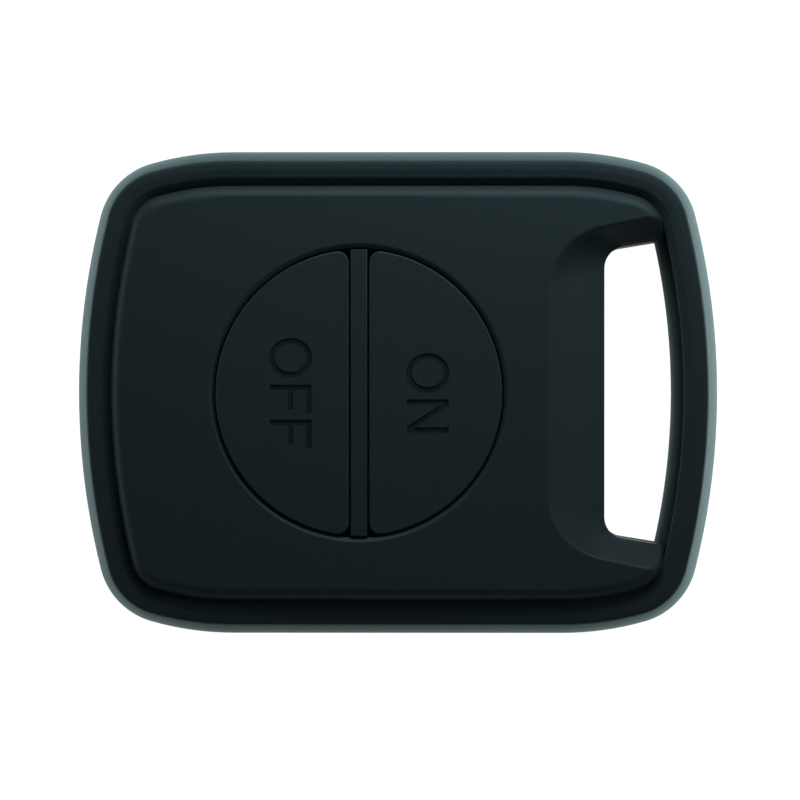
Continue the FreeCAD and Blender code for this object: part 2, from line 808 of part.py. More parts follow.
def frontCover():
    body = coverShell("front_cover", 1, d.front_skin)
    posts = newSketch(body, "front_posts", z=board_top + d.seat_gap)
    for x, y in postSpots():
        addCircle(posts, x, y, d.post_radius)
    pad(body, posts, front_ceiling - board_top - d.seat_gap)
    pegs = newSketch(body, "front_peg", x=disc_x, z=carrier_base + d.seat_gap)
    addCircle(pegs, zero, peg_circle, d.peg_radius)
    polar(body, pad(body, pegs, d.carrier_height), 4)
    pilots = newSketch(body, "front_pilots", z=middle)
    for x, y in screwSpots():
        addCircle(pilots, x, y, d.shank_radius + d.shank_clearance)
    pocket(body, pilots, d.head_recess + d.shank_length - middle + d.pilot_spare)
    hole = newSketch(body, "front_hole", x=disc_x, z=front_ceiling)
    addCircle(hole, zero, zero, hole_radius)
    pocket(body, hole, d.front_skin + d.dish_rise)

    centre = vec(disc_x.value, 0, 0)

    def holeRim(edge):
        reach = [math.hypot(point.x - centre.x, point.y) for point in spots(edge)]
        high = all(point.z > (front_ceiling + d.front_skin / 2).value for point in spots(edge))
        return high and not upright(edge) and all(near(radius, hole_radius) for radius in reach)

    bevelEdges(body, d.rim_bevel, holeRim, "front_hole_rim")
    return body


def rearCover():
    body = coverShell("rear_cover", -1, d.rear_skin)
    posts = newSketch(body, "rear_posts", z=board_base - d.seat_gap)
    for x, y in postSpots():
        addCircle(posts, x, y, d.post_radius)
    pad(body, posts, board_base - d.seat_gap - d.rear_skin, False)
    cradle = newSketch(body, "rear_cradle", x=disc_x, z=d.rear_skin)
    addCircle(cradle, zero, zero, cradle_inner)
    addCircle(cradle, zero, zero, cradle_outer)
    pad(body, cradle, d.cradle_height)
    seats = newSketch(body, "rear_head_recesses")
    shanks = newSketch(body, "rear_screw_holes")
    for x, y in screwSpots():
        addCircle(seats, x, y, d.head_radius + d.head_clearance)
        addCircle(shanks, x, y, d.shank_radius + d.shank_clearance)
    pocket(body, seats, d.head_recess)
    pocket(body, shanks, middle)
    return body


# Keys and the carrier that holds their bridge

def key(label, side):
    body = newBody(label)
    flat = d.bridge_width / 2 + d.bridge_gap
    flange = halfDiscSketch(body, label + "_flange", flange_base, side, flange_radius, flat,
                            d.key_corner_radius)
    pad(body, flange, d.flange_height)
    cap = halfDiscSketch(body, label + "_cap", flange_base, side, key_radius, flat, d.key_corner_radius)
    pad(body, cap, key_top - flange_base)
    roundEdges(body, d.key_edge_radius, flatAt(key_top), label + "_edge")
    hollow = halfDiscSketch(body, label + "_hollow", flange_base, side, key_radius - d.key_wall,
                            flat + d.key_wall, d.key_corner_radius)
    pocket(body, hollow, key_top - d.key_wall - flange_base)
    boss = newSketch(body, label + "_boss", x=disc_x, z=mat_top + d.seat_gap)
    addCircle(boss, d.switch_spread * side, zero, d.boss_radius)
    pad(body, boss, key_top - d.key_wall - mat_top - d.seat_gap)
    return body


def keyCarrier():
    body = newBody("key_carrier")
    ring = newSketch(body, "carrier_ring", x=disc_x, z=carrier_base)
    addCircle(ring, zero, zero, carrier_inner)
    addCircle(ring, zero, zero, carrier_outer)
    pad(body, ring, d.carrier_height)
    half = d.bridge_width / 2
    beam = newSketch(body, "carrier_beam", x=disc_x, z=carrier_base)
    addRectangle(beam, -half, half, -peg_circle, peg_circle)
    pad(body, beam, d.carrier_height)
    bridge = newSketch(body, "carrier_bridge", x=disc_x, z=carrier_base)
    reach = hole_radius - d.bridge_gap
    addRectangle(bridge, -half, half, -reach, reach)
    pad(body, bridge, key_top - carrier_base)
    roundEdges(body, d.bridge_edge_radius, flatAt(key_top), "carrier_bridge_edge")
    hole = newSketch(body, "carrier_peg_hole", x=disc_x, z=carrier_base)
    addCircle(hole, zero, peg_circle, d.peg_radius + d.peg_clearance)
    polar(body, pocket(body, hole, d.carrier_height), 4)
    return body


def keypadMat():
    """Silicone sheet with a skirt that stands on the board and a boss over each switch."""
    body = newBody("keypad_mat")
    skirt = newSketch(body, "mat_skirt", x=disc_x, z=board_top + d.seat_gap)
    addCircle(skirt, zero, zero, mat_radius)
    pad(body, skirt, mat_top - board_top - d.seat_gap)
    hollow = newSketch(body, "mat_hollow", x=disc_x, z=board_top + d.seat_gap)
    addCircle(hollow, zero, zero, mat_inner)
    pocket(body, hollow, mat_base - board_top - d.seat_gap)
    bosses = newSketch(body, "mat_bosses", x=disc_x, z=plunger_top + d.seat_gap)
    for side in (-1, 1):
        addCircle(bosses, d.switch_spread * side, zero, d.mat_boss_radius)
    pad(body, bosses, mat_base - plunger_top - d.seat_gap)
    return body


# Circuit board and what stands on it

def circuitBoard():
    body = newBody("circuit_board")
    blank = newSketch(body, "board_blank", z=board_base)
    half = half_width - cavity_inset - d.board_side_gap
    start = cavity_inset + d.board_start_gap - half_length
    addRectangle(blank, start, cavity_end - d.board_end_gap, -half, half)
    pad(body, blank, d.board_thickness)
    notches = newSketch(body, "board_notches", z=board_base)
    for x, y in screwSpots():
        addCircle(notches, x, y, d.screw_boss_radius + d.board_clearance)
    pocket(body, notches, d.board_thickness)
    return body


def switchBody(label, side):
    """Moulded base with a bore for the plunger."""
    body = newBody(label)
    half = d.switch_width / 2
    centre = disc_x + d.switch_spread * side
    base = newSketch(body, label + "_base", x=centre, z=board_top)
    addRectangle(base, -half, half, -half, half)
    pad(body, base, d.switch_height - d.plate_thickness)
    bore = newSketch(body, label + "_bore", x=centre, z=switch_top - d.plate_thickness)
    addCircle(bore, zero, zero, d.plunger_radius + d.plunger_clearance)
    pocket(body, bore, d.plunger_depth + d.key_travel + d.plunger_clearance - d.plate_thickness, False)
    return body


def switchPlate(label, side):
    """Pressed steel plate that closes the switch round its plunger."""
    body = newBody(label)
    half = d.switch_width / 2
    plate = newSketch(body, label + "_blank", x=disc_x + d.switch_spread * side,
                      z=switch_top - d.plate_thickness)
    addRectangle(plate, -half, half, -half, half)
    addCircle(plate, zero, zero, d.plunger_radius + d.plunger_clearance)
    pad(body, plate, d.plate_thickness)
    return body


def switchPlunger(label, side):
    """Turned profile: a stem with a rounded top edge."""
    body = newBody(label)
    sketch = newSketch(body, label + "_profile", "XZ_Plane", x=disc_x + d.switch_spread * side)
    addRectangle(sketch, zero, d.plunger_radius, switch_top - d.plunger_depth, plunger_top)
    revolve(body, sketch)
    roundEdges(body, d.plunger_clearance, flatAt(plunger_top), label + "_edge")
    return body


def chip(label, side):
    """Flat package with gull-wing leads along both long sides."""
    body = newBody(label)
    half = d.chip_length / 2
    deep = d.chip_width / 2
    row = chip_row * side
    stand = board_top + d.lead_thickness
    package = newSketch(body, label + "_package", x=disc_x, y=row, z=stand)
    addRectangle(package, -half, half, -deep, deep)
    pad(body, package, d.chip_height - d.lead_thickness)
    first = d.lead_pitch * (d.lead_count - 1) / 2
    lead = newSketch(body, label + "_leads", x=disc_x, y=row, z=board_top)
    for i in range(int(d.lead_count.value)):
        centre = d.lead_pitch * i - first
        addRectangle(lead, centre - d.lead_width / 2, centre + d.lead_width / 2,
                     -deep - d.lead_reach, deep + d.lead_reach)
    pad(body, lead, d.lead_thickness)
    return body


def crystal():
    body = newBody("crystal")
    half = d.crystal_length / 2
    deep = d.crystal_width / 2
    rim = d.crystal_lid_height / 2
    base = newSketch(body, "crystal_base", x=disc_x, y=d.crystal_x, z=board_top)
    base_x = d.crystal_x
    addRectangle(base, base_x - half, base_x + half, -deep, deep)
    pad(body, base, d.crystal_height - d.crystal_lid_height)
    lid = newSketch(body, "crystal_lid", x=disc_x, y=d.crystal_x, z=board_top)
    addRectangle(lid, base_x - half + rim, base_x + half - rim, -deep + rim, deep - rim)
    pad(body, lid, d.crystal_height)
    return body


def chipParts():
    """Two rows of small capacitors and resistors, each a block of its own."""
    blocks = []
    for side in (-1, 1):
        for i in range(4):
            block = doc.addObject("Part::Box", "small_part")
            along = disc_x - d.small_x - d.small_length / 2
            across = d.small_pitch * (i - 1.5) - d.small_width / 2 - chip_row * side
            block.setExpression("Length", d.small_length.formula)
            block.setExpression("Width", d.small_width.formula)
            block.setExpression("Height", d.small_height.formula)
            for axis, place in (("x", along), ("y", across), ("z", board_top)):
                block.setExpression("Placement.Base." + axis, place.formula)
            blocks.append(block)
    group = doc.addObject("Part::Compound", "chip_parts")
    group.Label = "chip_parts"
    group.Links = blocks
    return group


def wireAntenna():
    """Round wire soldered to the board at both ends, bent down and along beside the cell."""
    body = newBody("wire_antenna")
    bend = d.antenna_bend.value
    half = d.antenna_half.value
    top = board_base.value
    low = top - d.antenna_drop.value
    path = newSketch(body, "antenna_path", "YZ_Plane", z=antenna_x)
    curves = [line((-half, top), (-half, low + bend)),
              arc((-half + bend, low + bend), bend, (-half, low + bend), (-half + bend, low)),
              line((-half + bend, low), (half - bend, low)),
              arc((half - bend, low + bend), bend, (half - bend, low), (half, low + bend)),
              line((half, low + bend), (half, top))]
    n = path.addGeometry(curves, False)[0]
    for i in range(4):
        path.addConstraint(Sketcher.Constraint("Tangent", n + i, 2, n + i + 1, 1))
    for i in (1, 3):
        dimension(path, "Radius", n + i, d.antenna_bend)
    locate(path, n, 1, -d.antenna_half, board_base)
    locate(path, n + 4, 2, d.antenna_half, board_base)
    path.addConstraint(Sketcher.Constraint("Vertical", n))
    path.addConstraint(Sketcher.Constraint("Vertical", n + 4))
    path.addConstraint(Sketcher.Constraint("Horizontal", n + 2))
    dimension(path, "DistanceY", n + 2, 1, n, 1, d.antenna_drop)
    wire = newSketch(body, "antenna_wire", x=antenna_x, y=-d.antenna_half, z=board_base)
    addCircle(wire, zero, zero, d.wire_radius)
    doc.recompute()
    sweep = body.newObject("PartDesign::AdditivePipe", "antenna_sweep")
    sweep.Profile = wire
    sweep.Spine = path
    finishFeature(body, sweep)
    return body


# Cell and its contacts, under the board

def coinCell():
    """Turned profile: a can with rounded edges and a smaller cap on the upper face."""
    body = newBody("coin_cell")
    can = newSketch(body, "cell_can", "XZ_Plane", x=disc_x)
    addRectangle(can, zero, d.cell_radius, cell_base, cell_top - d.cell_cap_height)
    revolve(body, can)
    roundEdges(body, d.cell_edge_radius, lambda edge: not near(edge.BoundBox.XLength, 0, 1), "cell_edges")
    cap = newSketch(body, "cell_cap", x=disc_x, z=cell_top - d.cell_cap_height)
    addCircle(cap, zero, zero, d.cell_cap_radius)
    pad(body, cap, d.cell_cap_height)
    return body


def positiveClip():
    """Steel strap under the cell with a leg up to the board at each side."""
    body = newBody("positive_clip")
    half = d.strap_width / 2
    inner = d.cell_radius + d.strap_clearance
    outer = inner + d.strap_thickness
    strap = newSketch(body, "clip_strap", x=disc_x, z=strap_base)
    addRectangle(strap, -half, half, -outer, outer)
    pad(body, strap, d.strap_thickness)
    legs = newSketch(body, "clip_legs", x=disc_x, z=strap_base)
    addRectangle(legs, -half, half, inner, outer)
    addRectangle(legs, -half, half, -outer, -inner)
    pad(body, legs, board_base - strap_base)
    return body


def negativeContact():
    """Sprung steel cup soldered to the board, its rim down on the cell's cap."""
    body = newBody("negative_contact")
    gap = board_base - cell_top - d.seat_gap
    sketch = newSketch(body, "contact_profile", "XZ_Plane", x=disc_x)
    r = d.contact_radius.value
    low = (board_base - gap).value
    top = board_base.value
    wall = d.contact_thickness.value
    curves = [line((0, top - wall), (r / 2, top - wall)), line((r / 2, top - wall), (r, low)),
              line((r, low), (r, low + wall)), line((r, low + wall), (r / 2, top)),
              line((r / 2, top), (0, top)), line((0, top), (0, top - wall))]
    n = addLoop(sketch, curves, ())
    locate(sketch, n, 1, zero, board_base - d.contact_thickness)
    locate(sketch, n, 2, d.contact_radius / 2, board_base - d.contact_thickness)
    locate(sketch, n + 1, 2, d.contact_radius, board_base - gap)
    locate(sketch, n + 2, 2, d.contact_radius, board_base - gap + d.contact_thickness)
    locate(sketch, n + 3, 2, d.contact_radius / 2, board_base)
    locate(sketch, n + 4, 2, zero, board_base)
    revolve(body, sketch)
    return body


def coverScrews():
    """Four self-tapping screws with a cross in each pan head."""
    body = newBody("cover_screws")
    body.AllowCompound = True
    seat = d.head_recess
    heads = newSketch(body, "screw_heads", z=seat - d.head_height)
    shanks = newSketch(body, "screw_shanks", z=seat)
    crosses = newSketch(body, "screw_crosses", z=seat - d.head_height)
    bars = newSketch(body, "screw_bars", z=seat - d.head_height)
    half = d.cross_length / 2
    thin = d.cross_width / 2
    for x, y in screwSpots():
        addCircle(heads, x, y, d.head_radius)
        addCircle(shanks, x, y, d.shank_radius)
        addRectangle(crosses, x - half, x + half, y - thin, y + thin)
        addRectangle(bars, x - thin, x + thin, y - half, y + half)
    pad(body, heads, d.head_height)
    pad(body, shanks, d.shank_length)
    roundEdges(body, d.cross_width, flatAt(seat - d.head_height), "screw_head_edges")
    pocket(body, crosses, d.cross_depth)
    pocket(body, bars, d.cross_depth)
    return body


pieces = [bumperFrame(), frontCover(), rearCover(), keyCarrier(), keypadMat(), circuitBoard(),
          crystal(), chipParts(), wireAntenna(), coinCell(), positiveClip(), negativeContact(),
          coverScrews()]
for side, word in ((1, "on"), (-1, "off")):
    pieces += [key(word + "_key", side), switchBody(word + "_switch_body", side),
               switchPlate(word + "_switch_plate", side), switchPlunger(word + "_switch_plunger", side)]
for side, label in ((1, "radio_chip"), (-1, "controller_chip")):
    pieces.append(chip(label, side))

doc.recompute()
for item in doc.Objects:
    if "Invalid" in item.State or "Error" in item.State:
        raise RuntimeError(item.Label + " failed: " + ", ".join(item.State))
for piece in pieces:
    if piece.Shape.isNull() or not piece.Shape.isValid():
        raise RuntimeError(piece.Label + " has no valid shape")
for piece in pieces:
    piece.Shape.exportStep("parts/" + piece.Label + ".step")
    print(piece.Label, len(piece.Shape.Solids), round(piece.Shape.Volume, 2))
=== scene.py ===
import math

import bmesh
import bpy
from mathutils import Matrix, Vector


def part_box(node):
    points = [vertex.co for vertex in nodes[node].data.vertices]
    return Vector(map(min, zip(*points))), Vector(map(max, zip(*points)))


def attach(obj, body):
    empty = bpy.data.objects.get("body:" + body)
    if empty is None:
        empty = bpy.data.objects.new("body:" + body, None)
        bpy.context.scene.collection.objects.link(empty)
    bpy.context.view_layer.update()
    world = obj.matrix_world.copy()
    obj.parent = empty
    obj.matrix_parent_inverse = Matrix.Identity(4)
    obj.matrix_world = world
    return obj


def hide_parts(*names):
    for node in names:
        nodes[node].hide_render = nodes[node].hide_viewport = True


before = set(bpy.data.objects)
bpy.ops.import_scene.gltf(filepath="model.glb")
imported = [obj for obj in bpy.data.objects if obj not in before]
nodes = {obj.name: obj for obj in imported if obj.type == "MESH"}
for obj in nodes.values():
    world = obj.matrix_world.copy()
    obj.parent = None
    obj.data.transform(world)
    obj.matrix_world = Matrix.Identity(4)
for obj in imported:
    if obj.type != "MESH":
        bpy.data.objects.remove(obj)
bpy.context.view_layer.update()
scene = bpy.context.scene
mm = 0.001                      # lengths are in metres
print("frame loaded")


# camera: a little towards the slot end from the middle, looking down and less than a degree aside

photoView = {
    "distance": 380 * mm,       # from the lens down to the middle of the remote's height
    "width": 70.27 * mm,        # what the square picture takes in at that distance
    "sensor": 36.0,
    "clipStart": 10 * mm,
    "standX": 4.50 * mm,        # where the lens hangs
    "standY": 2.00 * mm,
    "aimX": 0.18 * mm,          # what is at the picture's centre
    "aimY": -0.66 * mm,
}

bandLow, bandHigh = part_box("bumper_frame")
cameraData = bpy.data.cameras.new("photoCamera")
cameraData.sensor_width = photoView["sensor"]
cameraData.lens = photoView["sensor"] * photoView["distance"] / photoView["width"]
cameraData.clip_start = photoView["clipStart"]
camera = bpy.data.objects.new("photoCamera", cameraData)
aim = Vector((photoView["aimX"], photoView["aimY"], (bandLow[2] + bandHigh[2]) / 2))
stand = Vector((photoView["standX"], photoView["standY"], aim.z + photoView["distance"]))
camera.location = stand
camera.rotation_euler = Vector((0, 0, -1)).rotation_difference(aim - stand).to_euler()
scene.collection.objects.link(camera)
scene.camera = camera
scene.view_settings.view_transform = "Standard"
print("camera set")


# helpers

meshSlack = {
    "weld": 0.0005 * mm,        # vertices of a CAD copy that are closer than this are one
    "level": 0.002 * mm,        # how far off its height a point of a flat face may be
}


def toLinear(hexColour):
    channels = [int(hexColour[start:start + 2], 16) / 255 for start in (1, 3, 5)]
    return [c / 12.92 if c <= 0.04045 else ((c + 0.055) / 1.055) ** 2.4 for c in channels] + [1.0]


# the same colour, darker or lighter
def shaded(hexColour, share):
    return [min(1.0, c * share) for c in toLinear(hexColour)[:3]] + [1.0]


# settings hold a node's properties and input values, links the sockets that feed its inputs
def addNode(tree, kind, settings=None, links=None):
    node = tree.nodes.new(kind)
    for name, value in (settings or {}).items():
        if isinstance(name, int) or name in node.inputs:
            node.inputs[name].default_value = value
        else:
            setattr(node, name, value)
    for name, socket in (links or {}).items():
        tree.links.new(socket, node.inputs[name])
    return node


def startMaterial(name):
    material = bpy.data.materials.new(name)
    material.use_nodes = True
    material.node_tree.nodes.clear()
    return material, material.node_tree


def endMaterial(tree, shader):
    addNode(tree, "ShaderNodeOutputMaterial", links={"Surface": shader.outputs[0]})


# the CAD node's mesh as a new mesh, with its loose triangles joined
def cadCopy(name):
    bm = bmesh.new()
    bm.from_mesh(nodes[name].data)
    bmesh.ops.remove_doubles(bm, verts=bm.verts, dist=meshSlack["weld"])
    mesh = bpy.data.meshes.new(name + "_mesh")
    bm.to_mesh(mesh)
    bm.free()
    return mesh


def addPiece(name, mesh, material, body, replaced):
    piece = bpy.data.objects.new(name, mesh)
    scene.collection.objects.link(piece)
    mesh.materials.clear()
    mesh.materials.append(material)
    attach(piece, body)
    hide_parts(replaced)
    return piece


# smooth faces with crisp corners; shapes are functions from a point to the true normal there, or None
def shadeTrue(piece, angle, shapes=()):
    mesh = piece.data
    mesh.polygons.foreach_set("use_smooth", [True] * len(mesh.polygons))
    mesh.set_sharp_from_angle(angle=math.radians(angle))
    if not shapes:
        return
    normals = [corner.vector.copy() for corner in mesh.corner_normals]
    near = math.cos(math.radians(angle))
    for face in mesh.polygons:
        for corner in face.loop_indices:
            point = mesh.vertices[mesh.loops[corner].vertex_index].co
            for shape in shapes:
                normal = shape(point)
                if normal and normal.dot(face.normal) > near:
                    normals[corner] = normal
                    break
    mesh.normals_split_custom_set(normals)


# a flat face that looks up, or down where up is -1
def levelShape(height, up=1):
    return lambda point: Vector((0, 0, up)) if abs(point.z - height) < meshSlack["level"] else None


# plastics of the outside

# moulded ABS with a spark-eroded texture: dark blue-grey, its dull gloss broken up by a fine leather grain
coverPlastic = {
    "colour": "#151d20",
    "contrast": 0.06,               # how much the grain's hollows and tops differ in colour
    "ior": 1.54,
    "glossColour": "#c8ffff",       # tints the reflection
    "gloss": 0.09,                  # specular level
    "roughness": 0.50,
    "roughSpread": 0.03,            # how far the roughness goes either way with the grain
    "sheen": 0.01,                  # a haze that shows only where the eye grazes the surface
    "sheenColour": "#c8ffff",
    "sheenRoughness": 0.4,
    "coarseWidth": 0.60 * mm,       # one cell of the leather grain
    "coarseDepth": 0.0050 * mm,
    "fineWidth": 0.14 * mm,         # spark grit, drawn about twice as coarse as it is so that it shows
    "fineDepth": 0.0006 * mm,
}

# the same ABS on the keys and their carrier, polished a little further by the finger
keyPlastic = dict(coverPlastic, coarseDepth=0.0040 * mm)

# the floor of an engraved stroke: rough from the tool with hardly any gloss, and a little darker, as painted
# shade of the recess
etchedPaintedShadePlastic = dict(keyPlastic, colour="#141b1e", gloss=0.02, roughness=0.80, sheen=0.0,
                     coarseDepth=0.0020 * mm)

# moulded thermoplastic elastomer: duller than the covers, with a soft bloom where the eye grazes it
bandRubber = dict(coverPlastic, gloss=0.06, roughness=0.60, sheen=0.19,
                  coarseWidth=0.35 * mm, coarseDepth=0.0012 * mm, fineDepth=0.0004 * mm)


def mouldedMaterial(name, look):
    material, tree = startMaterial(name)
    place = addNode(tree, "ShaderNodeTexCoord")
    coarse = addNode(tree, "ShaderNodeTexNoise",
                     {"Scale": 1 / look["coarseWidth"], "Detail": 2.0, "Roughness": 0.5},
                     {"Vector": place.outputs["Object"]})
    fine = addNode(tree, "ShaderNodeTexNoise",
                   {"Scale": 1 / look["fineWidth"], "Detail": 1.0, "Roughness": 0.5},
                   {"Vector": place.outputs["Object"]})
    relief = addNode(tree, "ShaderNodeBump", {"Strength": 1.0, "Distance": look["coarseDepth"]},
                     {"Height": coarse.outputs[0]})
    grit = addNode(tree, "ShaderNodeBump", {"Strength": 1.0, "Distance": look["fineDepth"]},
                   {"Height": fine.outputs[0], "Normal": relief.outputs[0]})
    tone = addNode(tree, "ShaderNodeMix",
                   {"data_type": "RGBA", 6: shaded(look["colour"], 1 - look["contrast"]),
                    7: shaded(look["colour"], 1 + look["contrast"])}, {0: coarse.outputs[0]})
    gloss = addNode(tree, "ShaderNodeMapRange",
                    {"To Min": look["roughness"] - look["roughSpread"],
                     "To Max": look["roughness"] + look["roughSpread"]}, {"Value": coarse.outputs[0]})
    shader = addNode(tree, "ShaderNodeBsdfPrincipled",
                     {"IOR": look["ior"], "Specular IOR Level": look["gloss"],
                      "Specular Tint": toLinear(look["glossColour"]),
                      "Sheen Weight": look["sheen"], "Sheen Tint": toLinear(look["sheenColour"]),
                      "Sheen Roughness": look["sheenRoughness"]},
                     {"Base Color": tone.outputs[2], "Roughness": gloss.outputs[0],
                      "Normal": grit.outputs[0]})
    endMaterial(tree, shader)
    return material


coverMaterial = mouldedMaterial("mouldedAbs", coverPlastic)
keyMaterial = mouldedMaterial("mouldedAbsKeys", keyPlastic)
etchedPaintedShadeMaterial = mouldedMaterial("etchedAbsPaintedShade", etchedPaintedShadePlastic)
bandMaterial = mouldedMaterial("softTouchTpe", bandRubber)
print("outer materials made")


# outline: straight sides, then shoulder, corner and end arcs, all tangent, the same as in the CAD model

outline = {
    "halfWidth": 21.10 * mm,
    "halfLength": 28.00 * mm,
    "straightEnd": 14.40 * mm,
    "shoulderRadius": 26.40 * mm,
    "cornerRadius": 6.40 * mm,
    "endRadius": 63.60 * mm,
    "shoulderTurn": 15.890,     # degrees
    "cornerTurn": 60.006,
    "endTurn": 14.104,          # to either side of the X axis
    "shoulderSteps": 8,
    "cornerSteps": 24,
    "endSteps": 12,
}

shoulderCentre = Vector((outline["straightEnd"], outline["halfWidth"] - outline["shoulderRadius"], 0))
endCentre = Vector((outline["halfLength"] - outline["endRadius"], 0, 0))
cornerCentre = shoulderCentre + (
    Matrix.Rotation(math.radians(90 - outline["shoulderTurn"]), 3, "Z")
    @ Vector((outline["shoulderRadius"] - outline["cornerRadius"], 0, 0)))


# where a point lies on plan: how far inside the outline, and which way is outwards
def planPlace(point):
    x, y = abs(point.x), abs(point.y)
    spot = Vector((x, y, 0))
    turn = math.degrees(math.atan2(y - cornerCentre.y, x - cornerCentre.x))
    if x < outline["straightEnd"]:
        outward, inset = Vector((0, 1, 0)), outline["halfWidth"] - y
    else:
        centre, radius = cornerCentre, outline["cornerRadius"]
        if turn > 90 - outline["shoulderTurn"]:
            centre, radius = shoulderCentre, outline["shoulderRadius"]
        elif turn < outline["endTurn"]:
            centre, radius = endCentre, outline["endRadius"]
        outward, inset = (spot - centre).normalized(), radius - (spot - centre).length
    return inset, Vector((math.copysign(outward.x, point.x), math.copysign(outward.y, point.y), 0))


# covers: copies of the CAD shells, with the normals of their crown and fillets worked out from the sizes

coverShape = {
    "inset": 3.17 * mm,         # from the outline to the cover's side
    "edgeRadius": 1.20 * mm,
    "crownRadius": 600.0 * mm,
    "crownTop": 13.00 * mm,
    "tolerance": 0.015 * mm,    # how far a point may be off the true surface and still get its normal
    "shadeAngle": 26.0,         # edges sharper than this, in degrees, stay crisp
}


def crownHeight(x):
    return coverShape["crownTop"] - x * x / (2 * coverShape["crownRadius"])


def crownShape(point):
    if abs(point.z - crownHeight(point.x)) < coverShape["tolerance"]:
        return Vector((point.x / coverShape["crownRadius"], 0, 1)).normalized()


# across and rise go from the fillet's centre line out and up to the point
def filletNormal(outward, across, rise, radius):
    slack = coverShape["tolerance"]
    if min(across, rise) < -slack or abs(math.hypot(across, rise) - radius) > 2 * slack:
        return None
    return (outward * across + Vector((0, 0, rise))).normalized()


def edgeShape(point):
    inset, outward = planPlace(point)
    radius = coverShape["edgeRadius"]
    across = coverShape["inset"] + radius - inset
    if point.z > coverShape["crownTop"] / 2:
        return filletNormal(outward, across, point.z - crownHeight(point.x) + radius, radius)
    normal = filletNormal(outward, across, radius - point.z, radius)
    return normal and Vector((normal.x, normal.y, -normal.z))


for name, shapes in (("front_cover", (crownShape, edgeShape)),
                     ("rear_cover", (levelShape(0, -1), edgeShape))):
    cover = addPiece(name + "_dressed", cadCopy(name), coverMaterial, "housing", name)
    shadeTrue(cover, coverShape["shadeAngle"], shapes)
print("covers dressed")

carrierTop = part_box("key_carrier")[1][2]
carrier = addPiece("key_carrier_dressed", cadCopy("key_carrier"), keyMaterial, "housing",
                   "key_carrier")
shadeTrue(carrier, coverShape["shadeAngle"], (levelShape(carrierTop),))
print("key carrier dressed")


# bumper band: its section drawn once, then carried round the outline

band = {
    "middle": 6.50 * mm,        # height of the parting plane
    # where each face of the section ends: how far inside the outline, and how far off the parting plane
    "flank": (1.07 * mm, 5.20 * mm),
    "crest": (1.77 * mm, 5.20 * mm),
    "slope": (2.45 * mm, 5.03 * mm),
    "chamfer": (3.10 * mm, 4.15 * mm),
    "seat": (3.00 * mm, 2.50 * mm),     # the wall beside the covers leans under, down to the tongue
    "tip": (4.05 * mm, 0.0),    # of the tongue that sits in the covers' groove
    "tongueEdge": 0.45 * mm,    # radius
    "softEdges": {"flank": 0.23 * mm, "crest": 0.05 * mm, "slope": 0.08 * mm, "chamfer": 0.10 * mm},
    "softSteps": 4,
    "flankSteps": 24,
    "edgeSteps": 6,
    "tipSteps": 16,
    "penWeld": 0.001 * mm,      # doubled points of the section
    "sweepWeld": 0.002 * mm,    # and of the swept band, where its end meets its start
}


# pen strokes: each goes on from the last point drawn and gives back its own last point
def penLine(bm, pen, place):
    item = bmesh.ops.extrude_vert_indiv(bm, verts=[pen])["verts"][0]
    item.co = place
    return item


def penArc(bm, pen, centre, axis, turn, steps):
    return bmesh.ops.spin(bm, geom=[pen], cent=centre, axis=axis, angle=math.radians(turn),
                          steps=steps)["geom_last"][0]


# the closed section at the middle of a long side; gives back the points whose edges are softened later
def bandSection(bm):
    def spot(name, side=1):
        inset, height = band[name]
        return Vector((0, outline["halfWidth"] - inset, band["middle"] + side * height))

    along = Vector((1, 0, 0))
    flankInset, flankHeight = band["flank"]
    flankRadius = (flankInset ** 2 + flankHeight ** 2) / (2 * flankInset)
    flankCentre = Vector((0, outline["halfWidth"] - flankRadius, band["middle"]))
    flankTurn = 2 * math.degrees(math.asin(flankHeight / flankRadius))
    start = bm.verts.new(spot("flank", -1))
    pen = penArc(bm, start, flankCentre, along, flankTurn, band["flankSteps"])
    named = {"flank": [start, pen]}
    for name in ("crest", "slope", "chamfer", "seat"):
        pen = penLine(bm, pen, spot(name))
        named[name] = [pen]
    # the tongue: its tip is a flat arc that runs smoothly into both rounded edges
    edge = band["tongueEdge"]
    bulge = band["tip"][0] - band["seat"][0] - edge
    rise = band["seat"][1] - edge
    lean = 2 * math.atan(bulge / rise)
    tipRadius = rise / math.sin(lean) + edge
    tipCentre = spot("tip") + Vector((0, tipRadius, 0))
    turn = math.degrees(lean)
    pen = penArc(bm, pen, pen.co - Vector((0, 0, edge)), along, 90 - turn, band["edgeSteps"])
    pen = penArc(bm, pen, tipCentre, along, 2 * turn, band["tipSteps"])
    pen = penArc(bm, pen, spot("seat", -1) + Vector((0, 0, edge)), along, 90 - turn, band["edgeSteps"])
    for name in ("chamfer", "slope", "crest"):
        pen = penLine(bm, pen, spot(name, -1))
        named[name].append(pen)
    bm.edges.new((pen, start))
    bmesh.ops.remove_doubles(bm, verts=bm.verts, dist=band["penWeld"])
    return named


# the vertices of a single closed loop, one after the other
def loopInOrder(bm):
    bm.verts.ensure_lookup_table()
    order = [bm.verts[0]]
    edge = order[0].link_edges[0]
    while True:
        vert = edge.other_vert(order[-1])
        if vert is order[0]:
            return order
        order.append(vert)
        edge = [item for item in vert.link_edges if item is not edge][0]


